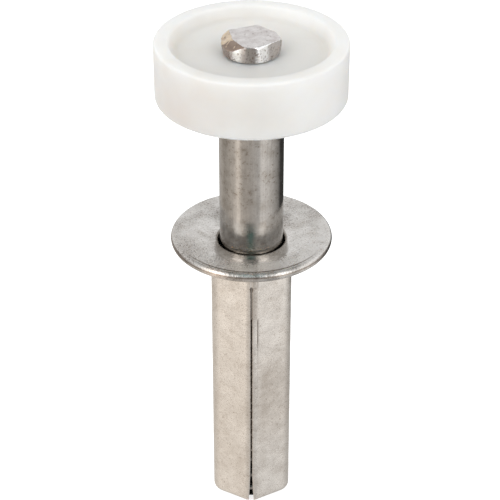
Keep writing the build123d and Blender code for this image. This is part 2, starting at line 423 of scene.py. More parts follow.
def coated(tree, shader, tone, metallic, roughness):
    """Gives a shader its colour, its share of metal and its roughness, which is a socket or a number."""
    tree.links.new(tone, shader.inputs["Base Color"])
    shader.inputs["Metallic"].default_value = metallic
    if isinstance(roughness, float):
        shader.inputs["Roughness"].default_value = roughness
    else:
        tree.links.new(roughness, shader.inputs["Roughness"])


def tinted(base, factor):
    """A colour multiplied by a number or by one number a channel."""
    factors = factor if isinstance(factor, tuple) else (factor, factor, factor)
    return tuple(min(1.0, c * f) for c, f in zip(base, factors))


# Materials

# A painted shade on the front left of the tread, a brownish darker patch: its middle and its reach
SHADE_PATCH_PLACE = (-9.0 * MM, -9.2 * MM, 23.6 * MM)
SHADE_PATCH_REACH = 7.5 * MM


def nylon_material(settings):
    """White translucent nylon with faint flow marks, a satin surface, and painted shade on the rim, tread and
    recess.
    """
    material, tree, shader = new_material("white_nylon")
    base = tuple(settings.nylon)
    vector = place_coordinates(tree)
    cloud = noise_field(tree, vector, 5 * MM, 3.0)
    grain = noise_field(tree, vector, 0.35 * MM, 3.0)
    tone = ramp(tree, cloud, [(0.3, tinted(base, (0.975, 0.965, 0.95))), (0.6, base)])
    axes = axis_values(tree, vector)
    tread_radius = settings.diameter / 2
    rim_inner = tread_radius - settings.rim_width
    recess = scaled(tree, distance_out(tree, axes), rim_inner, rim_inner - 1.5 * MM)
    # Painted shade: the recess darker towards the front, where the front rim would shade it
    painted_recess_shade = ramp(tree, scaled(tree, axes["Y"], -9 * MM, 9 * MM),
                   [(0.0, (0.86, 0.855, 0.85)), (0.5, (0.93, 0.92, 0.90)), (1.0, (0.99, 0.985, 0.98))])
    # Painted shade: the rim's top darker towards the front
    painted_shading = ramp(tree, scaled(tree, axes["Y"], -13 * MM, 0.0),
                [(0.0, (0.95, 0.945, 0.94)), (0.23, (0.92, 0.91, 0.895)), (0.75, 1.0)])
    # Painted shade: the tread darker on the left, where less light falls
    painted_tread_shade = ramp(tree, scaled(tree, axes["X"], -tread_radius, tread_radius),
                 [(0.0, (0.92, 0.905, 0.895)), (0.55, (0.895, 0.885, 0.88)), (0.75, (0.99, 0.99, 1.0))])
    # The tread's painted shade below the rim's top, and the rim top's painted shade on it
    painted_shading = mixed(tree, scaled(tree, axes["Z"], settings.top - 0.5 * MM, settings.top),
                 painted_tread_shade, painted_shading)
    # Painted shade over the recess inside the rim, and over the tread and rim outside it
    tone = multiplied(tree, tone, mixed(tree, recess, painted_shading, painted_recess_shade))
    # Painted shade: a warm darker patch on the front left of the tread
    stain_and_shade = soft_patch_field(tree, vector, SHADE_PATCH_PLACE, SHADE_PATCH_REACH, cloud)
    tone = mixed(tree, stain_and_shade, tone, tinted(base, (0.86, 0.81, 0.78)))
    tree.links.new(tone, shader.inputs["Base Color"])
    tree.links.new(scaled(tree, grain, 0.3, 0.7, 0.36, 0.5), shader.inputs["Roughness"])
    shader.inputs["IOR"].default_value = 1.53
    shader.inputs["Subsurface Weight"].default_value = 1.0
    shader.inputs["Subsurface Radius"].default_value = (1.0, 0.92, 0.82)
    shader.inputs["Subsurface Scale"].default_value = 3.5 * MM
    bumped(tree, shader, [(cloud, 0.02 * MM), (grain, 0.004 * MM)])
    return material


def turned_steel_material(settings):
    """Bright drawn steel with faint blotches, drawing streaks and small stains."""
    material, tree, shader = new_material("turned_steel")
    base = tuple(settings.steel)
    even = place_coordinates(tree)
    drawn = place_coordinates(tree, (1, 1, 0.06))
    blotch = noise_field(tree, even, 1.6 * MM, 5.0, 0.6)
    streak = noise_field(tree, drawn, 0.22 * MM, 3.0)
    stain_and_shade = noise_field(tree, even, 0.45 * MM, 4.0, 0.7)
    tone = ramp(tree, blotch, [(0.3, tinted(base, (0.80, 0.78, 0.75))), (0.5, base),
                               (0.7, tinted(base, 1.14))])
    streaks = ramp(tree, streak, [(0.3, 0.86), (0.7, 1.0)])
    tone = multiplied(tree, tone, streaks)
    spots = ramp(tree, stain_and_shade, [(0.0, 1.0), (0.56, 1.0), (0.66, (0.50, 0.42, 0.36))])
    tone = mixed(tree, scaled(tree, blotch, 0.35, 0.6, 1.0, 0.3), tone, spots, "MULTIPLY")
    coated(tree, shader, tone, 1.0, scaled(tree, blotch, 0.3, 0.7, 0.11, 0.19))
    bumped(tree, shader, [(blotch, 0.012 * MM), (streak, 0.003 * MM), (stain_and_shade, 0.004 * MM)])
    return material


def riveted_steel_material(settings, name, tint, unevenness=1.0):
    """Hammered steel: bright and pitted, uneven where it was struck hardest, and in some copies tinted as
    painted highlights and shade.
    """
    material, tree, shader = new_material(name)
    base = tinted(settings.rivet, tint)
    even = place_coordinates(tree)
    pits = noise_field(tree, even, 0.30 * MM, 4.0, 0.65)
    blotch = noise_field(tree, even, 1.1 * MM, 4.0)
    tone = ramp(tree, blotch, [(0.3, tinted(base, (0.84, 0.81, 0.80))), (0.55, base),
                               (0.75, tinted(base, 1.12))])
    holes = ramp(tree, pits, [(0.30, (0.45, 0.40, 0.37)), (0.40, 1.0)])
    tone = multiplied(tree, tone, holes)
    coated(tree, shader, tone, 1.0, scaled(tree, pits, 0.3, 0.7, 0.26, 0.16))
    bumped(tree, shader, [(blotch, 0.010 * MM * unevenness), (pits, 0.006 * MM * unevenness)])
    return material


# Painted highlights and shade on the riveted end's side, bright bands where the lamps streak and darker ones
# between: direction in degrees from the front, growing to the right, and its tint
SIDE_PAINTED_BANDS = [(-75, (0.56, 0.48, 0.43)), (-40, (0.58, 0.50, 0.45)), (-30, (1.25, 1.24, 1.20)),
             (-18, (1.25, 1.24, 1.20)), (-10, (0.66, 0.62, 0.58)), (14, (0.56, 0.52, 0.50)),
             (20, (1.25, 1.25, 1.25)), (40, (1.25, 1.25, 1.25)), (48, (0.70, 0.68, 0.66)),
             (80, (0.66, 0.64, 0.62))]
# How far the pits push the borders of those painted bands aside
SIDE_WANDER = math.radians(14)


def burred_side_material(settings):
    """The head's struck side: scored up and down, so that lamps draw out into upright streaks on it, with
    painted highlight and shade bands round it.
    """
    material, tree, shader = new_material("burred_side")
    even = place_coordinates(tree)
    pits = noise_field(tree, even, 0.30 * MM, 4.0, 0.65)
    axes = axis_values(tree, even)
    turn = calculated(tree, "ARCTAN2", axes["X"], times(tree, axes["Y"], -1.0))
    turn = plus(tree, turn, times(tree, pits, SIDE_WANDER))
    # Painted highlight and shade bands round the side
    painted_shading = ramp(tree, scaled(tree, turn, math.radians(-90), math.radians(90)),
                [(a / 180 + 0.5, tinted(settings.rivet, tint)) for a, tint in SIDE_PAINTED_BANDS])
    tone = multiplied(tree, painted_shading, ramp(tree, pits, [(0.36, (0.45, 0.40, 0.37)), (0.48, 1.0)]))
    coated(tree, shader, tone, 1.0, 0.42)
    shader.inputs["Anisotropic"].default_value = 0.95
    shader.inputs["Anisotropic Rotation"].default_value = 0.25
    around = tree.nodes.new("ShaderNodeTangent")
    around.direction_type = "RADIAL"
    around.axis = "Z"
    tree.links.new(around.outputs["Tangent"], shader.inputs["Tangent"])
    bumped(tree, shader, [(pits, 0.010 * MM)])
    return material


# Places on the Y axis between which the barrel's front corner, which holds the seam, begins
FRONT_CORNER = (-5.0 * MM, -5.4 * MM)


def barrel_painted_shade_and_tint(tree, settings, axes, grain):
    """Tint of the barrel: painted shade along the seam's edges, round the turned-in end and in a dark crease
    on the seam's right, with a darker strip before that crease and a darker band on the right side."""
    aside = calculated(tree, "ABSOLUTE", axes["X"])
    aside = plus(tree, aside, times(tree, grain, 0.16 * MM))
    from_eye = calculated(tree, "ABSOLUTE", plus(tree, axes["Z"], settings.seam_top + 0.3 * MM))
    aside = minus(tree, aside, scaled(tree, from_eye, 0.1 * MM, 0.45 * MM, 0.08 * MM, 0.0))
    # Painted shade along the seam's edges
    beside = scaled(tree, aside, 0.16 * MM, 0.29 * MM, 1.0, 0.0)
    front = scaled(tree, axes["Y"], *FRONT_CORNER)
    below = scaled(tree, axes["Z"], -settings.seam_top + 0.2 * MM, -settings.seam_top)
    along = times(tree, times(tree, beside, front), below)
    tone = mixed(tree, along, (1.0, 1.0, 1.0), (0.16, 0.12, 0.09))
    up = minus(tree, axes["Z"], settings.barrel_end)
    # Painted shade round the turned-in end, darkest at the end
    end = ramp(tree, scaled(tree, up, 0.0, 1.0 * MM), [(0.0, 0.40), (0.22, 0.52), (0.60, 1.0)])
    tone = multiplied(tree, tone, end)
    rise = scaled(tree, axes["Z"], settings.barrel_end, 0.0)
    dull = ramp(tree, rise, [(0.15, 1.0), (0.36, (0.90, 0.88, 0.86)), (0.50, (0.85, 0.83, 0.81)),
                             (0.62, (0.97, 0.96, 0.95)), (0.78, 1.0)])
    aside = plus(tree, axes["X"], times(tree, grain, 0.10 * MM))
    # Painted shade in the crease on the seam's right
    painted_crease_shade = ramp(tree, scaled(tree, aside, 0.5 * MM, 1.3 * MM),
                  [(0.40, 0.0), (0.50, 0.9), (0.56, 0.9), (0.64, 0.35), (0.9, 0.0)])
    marks = ramp(tree, rise, [(0.30, 0.0), (0.64, 0.25), (0.68, 0.7), (0.70, 1.0), (0.775, 1.0), (0.785, 0.1),
                              (0.90, 0.1), (0.91, 0.5), (0.93, 0.5), (0.94, 0.0)])
    painted_crease_shade = times(tree, times(tree, painted_crease_shade, marks), front)
    tone = mixed(tree, painted_crease_shade, tone, (0.16, 0.13, 0.11))
    strip = ramp(tree, scaled(tree, aside, 0.0, 1.2 * MM),
                 [(0.16, 0.0), (0.26, 1.0), (0.68, 1.0), (0.80, 0.0)])
    strip = times(tree, times(tree, strip, front),
                  ramp(tree, rise, [(0.72, 0.0), (0.80, 0.55), (0.96, 0.65), (1.0, 0.3)]))
    tone = mixed(tree, strip, tone, (0.62, 0.59, 0.56))
    right = scaled(tree, axes["X"], 0.4 * MM, 1.6 * MM)
    tone = multiplied(tree, tone, mixed(tree, right, (1.0, 1.0, 1.0), dull))
    return tone


# Painted highlights and shade on the flange's rolled rim, bright and darker patches across its front: place
# across the front in millimetres, growing to the right, and its tint.
# RIM_REACH is how far to each side that list can go
RIM_REACH = 10.0
RIM_PAINTED_LIGHT = [(-7.0, 0.72), (-4.9, (1.14, 1.06, 1.0)), (-2.8, 0.68), (0.0, 0.75), (2.8, 0.66), (4.2, 0.95),
            (5.6, 0.65), (7.7, 1.12)]
# Places on the Y axis between which the rim's front, with its painted dark lines and highlights, gives way to
# its sides, with their painted dark edge
PAINTED_RIM_FRONT = (-8.5 * MM, -5.0 * MM)
# Radii between which the flange's flat top gives way to its rolled rim
RIM_BAND = (10.45 * MM, 10.65 * MM)


def rim_painted_shading(tree, settings, axes, grain):
    """Tint of the rolled rim: painted shade in two fine dark lines and painted highlights and shade in
    patches in front, and a painted dark edge at the sides.
    """
    wander = times(tree, grain, 0.16 * MM)
    out = plus(tree, distance_out(tree, axes), wander)
    fold = settings.flange_diameter / 2 - settings.flange_top / 2 + 0.05 * MM
    # Painted shade: a dark line where the flat top turns into the rolled rim
    first = ramp(tree, scaled(tree, out, fold - 0.3 * MM, fold + 0.3 * MM),
                 [(0.22, 1.0), (0.42, (0.28, 0.24, 0.21)), (0.58, (0.28, 0.24, 0.21)), (0.76, 1.0)])
    up = plus(tree, axes["Z"], wander)
    level = settings.flange_top * 0.61 + 0.08 * MM
    # Painted shade: a second dark line along the roll
    second = ramp(tree, scaled(tree, up, level - 0.40 * MM, level + 0.40 * MM),
                  [(0.28, 1.0), (0.44, (0.50, 0.45, 0.41)), (0.56, (0.50, 0.45, 0.41)), (0.72, 1.0)])
    across = scaled(tree, axes["X"], -RIM_REACH * MM, RIM_REACH * MM)
    # Painted highlights and shade in patches across the rim's front
    painted_rim_light = ramp(tree, across, [(x / (2 * RIM_REACH) + 0.5, tint) for x, tint in RIM_PAINTED_LIGHT])
    second = multiplied(tree, second, painted_rim_light)
    rolled = scaled(tree, out, fold + 0.2 * MM, fold + 0.3 * MM)
    painted_dark_lines = mixed(tree, rolled, first, second)
    edge = settings.flange_diameter / 2 - 0.16 * MM
    last = scaled(tree, distance_out(tree, axes), edge, edge + 0.05 * MM)
    # Painted shade: the rim's outermost edge darkened at the sides
    painted_edge_shade = mixed(tree, last, (1.0, 1.0, 1.0), (0.40, 0.37, 0.35))
    sides = scaled(tree, axes["Y"], *PAINTED_RIM_FRONT)
    return mixed(tree, sides, painted_dark_lines, painted_edge_shade)


def plated_sheet_material(settings):
    """Satin zinc on sheet steel: mottled and pitted, rough on the flange and burnished round its mouth."""
    material, tree, shader = new_material("plated_sheet")
    base = tuple(settings.zinc)
    even = place_coordinates(tree)
    rolled = place_coordinates(tree, (1, 1, 0.25))
    cloud = noise_field(tree, even, 7 * MM, 3.0)
    mottle = noise_field(tree, even, 1.5 * MM, 6.0, 0.65)
    grain = noise_field(tree, even, 0.28 * MM, 4.0, 0.7)
    rub = noise_field(tree, rolled, 0.5 * MM, 3.0)
    tone = ramp(tree, mottle, [(0.28, tinted(base, (0.86, 0.84, 0.82))), (0.5, base),
                               (0.7, tinted(base, 1.07))])
    tone = multiplied(tree, tone, ramp(tree, cloud, [(0.35, (0.93, 0.92, 0.91)), (0.55, 1.0)]))
    specks = ramp(tree, grain, [(0.30, (0.50, 0.44, 0.40)), (0.44, 1.0)])
    patches = noise_field(tree, even, 3.2 * MM, 3.0)
    tone = mixed(tree, scaled(tree, patches, 0.42, 0.62, 0.35, 1.0), tone, specks, "MULTIPLY")
    dots = ramp(tree, noise_field(tree, even, 0.16 * MM, 2.0, 0.8),
                [(0.36, (0.52, 0.46, 0.41)), (0.46, 1.0)])
    tone = mixed(tree, scaled(tree, patches, 0.60, 0.44, 0.0, 0.6), tone, dots, "MULTIPLY")
    axes = axis_values(tree, even)
    pitted = ramp(tree, noise_field(tree, even, 0.20 * MM, 3.0, 0.8),
                  [(0.36, (0.30, 0.27, 0.25)), (0.50, 1.0), (0.60, 1.0), (0.70, 1.25)])
    top_side = scaled(tree, axes["Z"], 0.0, 0.5 * MM)
    clouded = ramp(tree, patches, [(0.38, (0.90, 0.91, 0.93)), (0.5, (0.97, 0.99, 1.01)),
                                   (0.64, (1.03, 1.05, 1.08))])
    tone = mixed(tree, top_side, tone, multiplied(tree, tone, clouded))
    clustered = times(tree, top_side, scaled(tree, patches, 0.40, 0.60, 1.0, 0.25))
    tone = mixed(tree, clustered, tone, pitted, "MULTIPLY")
    # Painted shade along the seam, round the barrel's end and in a crease, with darker tints
    tone = multiplied(tree, tone, barrel_painted_shade_and_tint(tree, settings, axes, grain))
    # Painted shade and highlights on the flange's rolled rim
    tone = multiplied(tree, tone, rim_painted_shading(tree, settings, axes, grain))
    out = plus(tree, distance_out(tree, axes), times(tree, mottle, 1.2 * MM))
    burnished = scaled(tree, mottle, 0.3, 0.7, 0.18, 0.28)
    crusted = scaled(tree, mottle, 0.3, 0.7, 0.24, 0.40)
    burnish_end = settings.dish_radius + 0.6 * MM
    outer = scaled(tree, out, burnish_end - 0.4 * MM, burnish_end + 0.4 * MM)
    rim = scaled(tree, distance_out(tree, axes), *RIM_BAND)
    outer = minus(tree, outer, times(tree, rim, outer))
    satin = minus(tree, crusted, burnished)
    satin = plus(tree, burnished, times(tree, satin, outer))
    mouth = minus(tree, minus(tree, top_side, outer), rim)
    satin = minus(tree, satin, scaled(tree, mouth, 0.0, 1.0, 0.0, 0.09))
    coated(tree, shader, tone, 1.0, satin)
    uneven = mixed(tree, top_side, (0.35, 0.35, 0.35), (1.0, 1.0, 1.0))
    uneven = mixed(tree, mouth, uneven, (0.0, 0.0, 0.0))
    hills = times(tree, mottle, uneven)
    sand = times(tree, grain, scaled(tree, mouth, 0.0, 1.0, 1.0, 0.15))
    sand = times(tree, sand, scaled(tree, top_side, 0.0, 1.0, 0.55, 1.3))
    bumped(tree, shader, [(hills, 0.08 * MM), (rub, 0.008 * MM), (sand, 0.020 * MM)])
    return material


def bore_painted_shade_material(settings):
    """Dull brown inside of the barrel, where the plating didn't reach, and near black as painted shade of the
    barrel's inside.
    """
    material, tree, shader = new_material("bare_bore_painted_shade")
    base = tuple(settings.bore)
    blotch = noise_field(tree, place_coordinates(tree), 1.2 * MM, 4.0)
    tone = ramp(tree, blotch, [(0.35, tinted(base, 0.6)), (0.65, base)])
    coated(tree, shader, tone, 0.5, 0.6)
    bumped(tree, shader, [(blotch, 0.01 * MM)])
    return material


def spring_wire_material(settings):
    """Oiled drawn spring wire."""
    material, tree, shader = new_material("spring_wire")
    base = tuple(settings.wire_colour)
    even = place_coordinates(tree)
    blotch = noise_field(tree, even, 0.9 * MM, 4.0)
    tone = ramp(tree, blotch, [(0.35, tinted(base, 0.8)), (0.65, base)])
    coated(tree, shader, tone, 1.0, scaled(tree, blotch, 0.3, 0.7, 0.25, 0.4))
    bumped(tree, shader, [(blotch, 0.01 * MM)])
    return material


# Pieces

# Height of the moulding's unevenness inside the wheel's rim, and how long its waves are
RIM_WAVE, RIM_WAVE_LENGTH = 0.015 * MM, 4 * MM


class GUIDEWHEEL_OT_wheel(Operator):
    """Turn the nylon wheel with its raised rim and shallow recess"""
    bl_idname = "guidewheel.wheel"
    bl_label = "Nylon wheel"

    def execute(self, context):
        s = context.scene.guide_wheel_wheel
        painted_tread_shade = s.diameter / 2
        rim_inner = painted_tread_shade - s.rim_width
        recess = rim_inner - s.slope_width
        floor_z = s.top - s.recess_depth
        outline = spaced(rounded_outline([
            (s.bore_radius + s.bore_chamfer, s.bottom, 0),
            (painted_tread_shade, s.bottom, s.edge_radius),
            (painted_tread_shade, s.top, s.edge_radius),
            (rim_inner, s.top, s.rim_radius),
            (recess, floor_z, s.recess_fillet),
            (s.bore_radius, floor_z, 0.1 * MM),
            (s.bore_radius, s.bottom + s.bore_chamfer, 0),
        ]), 0.8 * MM)
        bm = bmesh.new()
        rings = []
        for i in range(s.segments):
            turn = 2 * math.pi * i / s.segments
            ring = []
            for r, z in outline:
                place = Vector((r * math.cos(turn), r * math.sin(turn), z))
                above = (z - floor_z) / s.recess_depth
                if above > 0.05 and r < painted_tread_shade - 0.5 * MM:
                    place.z += RIM_WAVE * above * fine_noise(place, RIM_WAVE_LENGTH, 1)
                ring.append(bm.verts.new(place))
            rings.append(ring)
        skin(bm, rings)
        piece = finish_mesh("nylon_wheel", bm, [nylon_material(s)], "wheel")
        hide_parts("wheel")
        return {"FINISHED"}


# Hammer marks on the riveted end: direction round the axis in degrees, depth taken off the top edge in
# millimetres, and lean from upright in degrees
HAMMER_FLATS = [
    (112, 1.60, 22),
    (46, 1.37, 16),
    (20, 0.90, 14),
    (-50, 0.65, 4),
    (-84, 0.30, 3),
    (-120, 0.40, 8),
    (165, 0.45, 38),
    (190, 1.55, 54),
    (212, 1.35, 46),
    (-57, 0.74, 45),
]
# How crisp the edges between those flats are
EDGE_SHARPNESS = 64
# Directions round the axis in degrees that hold the chips, first those with a painted gold highlight and then
# those with painted brown shade, and the edge with a painted highlight
CHIPS_START, CHIPS_CHANGE, CHIPS_END = 150, 201, 235
HIGHLIGHT_EDGE_START, HIGHLIGHT_EDGE_END = 268, 345
# Depths of the dents on the struck end and in its chips
DENT_DEPTH, CHIP_DEPTH = 0.010 * MM, 0.075 * MM
# Rows of faces over the head, along the stem and round the shoulder's edge
HEAD_ROWS, STEM_ROWS, SHOULDER_ROWS = 150, 60, 4


def head_reach(settings, centre, aim):
    """How far the riveted head reaches from a point inside it, its edges slightly rounded."""
    flare = settings.head_top_radius - settings.head_foot_radius
    flare /= settings.head_top - settings.head_foot
    radius = settings.head_foot_radius + flare * (centre.z - settings.head_foot)
    limits = []
    side = math.hypot(aim.x, aim.y) - flare * aim.z
    if side > 1e-6:
        limits.append(radius / side)
    if aim.z > 1e-6:
        limits.append((settings.head_top - centre.z) / aim.z)
    if aim.z < -1e-6:
        limits.append((settings.head_foot - centre.z) / aim.z)
    for direction, depth, lean in HAMMER_FLATS:
        turn, tilt = math.radians(direction), math.radians(lean)
        outward = Vector((math.cos(turn), math.sin(turn), 0))
        edge = outward * (settings.head_top_radius - depth * MM) + Vector((0, 0, settings.head_top))
        normal = outward * math.cos(tilt) + Vector((0, 0, math.sin(tilt)))
        facing = aim.dot(normal)
        if facing > 1e-6:
            limits.append((edge - centre).dot(normal) / facing)
    nearest = min(limits)
    total = sum((nearest / t) ** EDGE_SHARPNESS for t in limits)
    return nearest * total ** (-1 / EDGE_SHARPNESS)


def head_material(normal):
    """Material of a face of the riveted end: 1 top, 2 side, 3 chip with a painted gold highlight, 4 chip with
    painted brown shade, 5 edge with a painted highlight.
    """
    if abs(normal.z) < 0.3:
        return 2
    turn = math.degrees(math.atan2(normal.y, normal.x)) % 360
    if normal.z < 0.93 and CHIPS_START < turn < CHIPS_END:
        return 3 if turn < CHIPS_CHANGE else 4
    if normal.z < 0.9 and HIGHLIGHT_EDGE_START < turn < HIGHLIGHT_EDGE_END:
        return 5
    return 1


def hexagon_reach(across_flats, corner_radius, turn):
    """Distance from the axis to a rounded hexagon in a direction. One corner points to -Y."""
    sector = (turn + math.pi / 2) % (math.pi / 3)
    from_corner = min(sector, math.pi / 3 - sector)
    corner = (across_flats / 2 - corner_radius) / math.cos(math.pi / 6)
    flat = across_flats / 2 / math.cos(math.pi / 6 - from_corner)
    lean = corner * math.sin(from_corner)
    rounded = corner * math.cos(from_corner) + math.sqrt(max(0.0, corner_radius**2 - lean**2))
    on_arc = math.atan2(corner_radius * 0.5, corner + corner_radius * math.cos(math.pi / 6))
    return rounded if from_corner < on_arc else flat


class GUIDEWHEEL_OT_plunger(Operator):
    """Turn the steel plunger in one skin, from its riveted head to its spring spigot"""
    bl_idname = "guidewheel.plunger"
    bl_label = "Steel plunger"

    def execute(self, context):
        s = context.scene.guide_wheel_plunger
        bm = bmesh.new()
        turns = [2 * math.pi * i / s.segments for i in range(s.segments)]
        centre = Vector((0, 0, (s.head_foot + s.head_top) / 2))
        rings = []
        below = math.atan2(s.journal_radius + 0.12 * MM, s.head_foot - centre.z)
        for j in range(HEAD_ROWS + 1):
            polar = below * j / HEAD_ROWS
            ring = []
            for turn in turns:
                aim = Vector((math.sin(polar) * math.cos(turn), math.sin(polar) * math.sin(turn),
                              math.cos(polar)))
                place = centre + aim * head_reach(s, centre, aim)
                if place.z > s.head_foot + 0.2 * MM:
                    dent = fine_noise(place, 0.9 * MM, 2) + 0.5 * fine_noise(place, 0.35 * MM, 3)
                    chipped = min(1.0, max(0.0, (-place.x - 1.3 * MM) / MM)) * (place.z > s.head_foot + MM)
                    place += aim * dent * (DENT_DEPTH + CHIP_DEPTH * chipped)
                ring.append(bm.verts.new(place))
            rings.append(ring)

        def round_ring(radius, z):
            rings.append([bm.verts.new((radius * math.cos(t), radius * math.sin(t), z)) for t in turns])

        def hexagon_ring(z):
            ring = []
            for t in turns:
                reach = hexagon_reach(s.foot_across_flats, s.foot_corner_radius, t)
                ring.append(bm.verts.new((reach * math.cos(t), reach * math.sin(t), z)))
            rings.append(ring)

        round_ring(s.journal_radius, s.head_foot)
        round_ring(s.journal_radius, s.shoulder)
        round_ring(s.stem_radius - s.shoulder_chamfer, s.shoulder)
        for k in range(SHOULDER_ROWS + 1):
            bend = math.radians(90 * k / SHOULDER_ROWS)
            round_ring(s.stem_radius - s.shoulder_chamfer * (1 - math.sin(bend)),
                       s.shoulder - s.shoulder_chamfer * (1 - math.cos(bend)))
        stem_top = s.shoulder - s.shoulder_chamfer
        for k in range(1, STEM_ROWS + 1):
            round_ring(s.stem_radius, stem_top + (s.foot_top - stem_top) * k / STEM_ROWS)
        hexagon_ring(s.foot_top)
        hexagon_ring(s.foot_bottom)
        round_ring(s.spigot_radius, s.foot_bottom)
        round_ring(s.spigot_radius, PLUNGER_LOW.z + s.spigot_chamfer)
        round_ring(s.spigot_radius - s.spigot_chamfer, PLUNGER_LOW.z)
        round_ring(0, PLUNGER_LOW.z)
        for face in skin(bm, rings, closed_rings=False):
            top = max(v.co.z for v in face.verts)
            if top > s.head_foot + 1e-6:
                face.normal_update()
                face.material_index = head_material(-face.normal)
        materials = [
            turned_steel_material(s),
            riveted_steel_material(s, "riveted_steel", 1.0),
            burred_side_material(s),
            # Tinted copies: a painted gold highlight and painted brown shade on the chips, and a painted
            # highlight on the front right edge
            riveted_steel_material(s, "chip_painted_gold_highlight", (1.0, 0.86, 0.66), 8.0),
            riveted_steel_material(s, "chip_painted_brown_shade", (0.44, 0.36, 0.30), 8.0),
            riveted_steel_material(s, "edge_painted_highlight", 1.3),
        ]
        piece = finish_mesh("riveted_plunger", bm, materials, "plunger")
        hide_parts("plunger")
        return {"FINISHED"}


# Faces over half a corner and over a flat of the barrel, and rows along its parts
CORNER_STEPS, FLAT_STEPS = 12, 10
NECK_ROWS, BARREL_ROWS, BEND_ROWS, LIP_ROWS = 8, 150, 10, 3
# Height below the round neck over which the rows stand closer
NECK_LENGTH = 1.2 * MM
# How tightly the round neck blends into the hexagonal barrel
NECK_BLEND = 24
# How far the seam's edges are broken and wander, and half its least width
SEAM_BREAK, SEAM_WANDER, NARROWEST_GAP = 0.05 * MM, 0.035 * MM, 0.006 * MM
# The eye that the seam starts in: how much it adds to half the width, how far below the seam's top its middle
# lies, and how fast it fades
EYE_WIDTH, EYE_DEPTH, EYE_FADE = 0.09 * MM, 0.16 * MM, 0.14 * MM
# Height of the sheet's unevenness on the barrel and on the flange
BARREL_WAVE, FLANGE_WAVE = 0.02 * MM, 0.012 * MM


def barrel_stations(settings):
    """Stations once round the barrel from its seam at -Y: the corner's centre and the normal's angle."""
    side = (settings.across_flats / 2 - settings.corner_radius) / math.cos(math.pi / 6)
    corners = []
    for k in range(7):
        a = math.radians(-90 + 60 * k)
        corners.append(Vector((side * math.cos(a), side * math.sin(a))))
    stations = []
    for k in range(7):
        middle = -90 + 60 * k
        start = middle if k == 0 else middle - 30
        end = middle if k == 6 else middle + 30
        steps = CORNER_STEPS if k in (0, 6) else 2 * CORNER_STEPS
        for i in range(steps + 1):
            stations.append((corners[k], start + (end - start) * i / steps))
        if k < 6:
            for i in range(1, FLAT_STEPS):
                stations.append((corners[k].lerp(corners[k + 1], i / FLAT_STEPS), middle + 30))
    return stations


def seam_half_gap(settings, z, side):
    """Half the seam's width at a height on one side of it. The edges wander a little."""
    below = -settings.seam_top - z
    if below <= 0:
        return 0.0
    above_end = z - settings.barrel_end
    half = settings.seam_width / 2
    eye = EYE_WIDTH * math.exp(-((below - EYE_DEPTH) / EYE_FADE) ** 2)
    ragged = 0.85 + 0.7 * abs(fine_noise((0, side, z), 1.9 * MM, 5))
    ragged += 0.35 * fine_noise((0, side, z), 0.55 * MM, 6)
    gap = half * max(0.2, ragged) * min(1.0, below / (0.12 * MM)) + eye
    if above_end < settings.seam_spread:
        t = 1 - max(0.0, above_end) / settings.seam_spread
        gap += (settings.seam_end_width / 2 - half) * (0.30 * t + 0.70 * t**3)
    wander = SEAM_WANDER * fine_noise((3, 1, z), 3.1 * MM, 7) * min(1.0, below / MM)
    return max(NARROWEST_GAP, gap + side * wander)


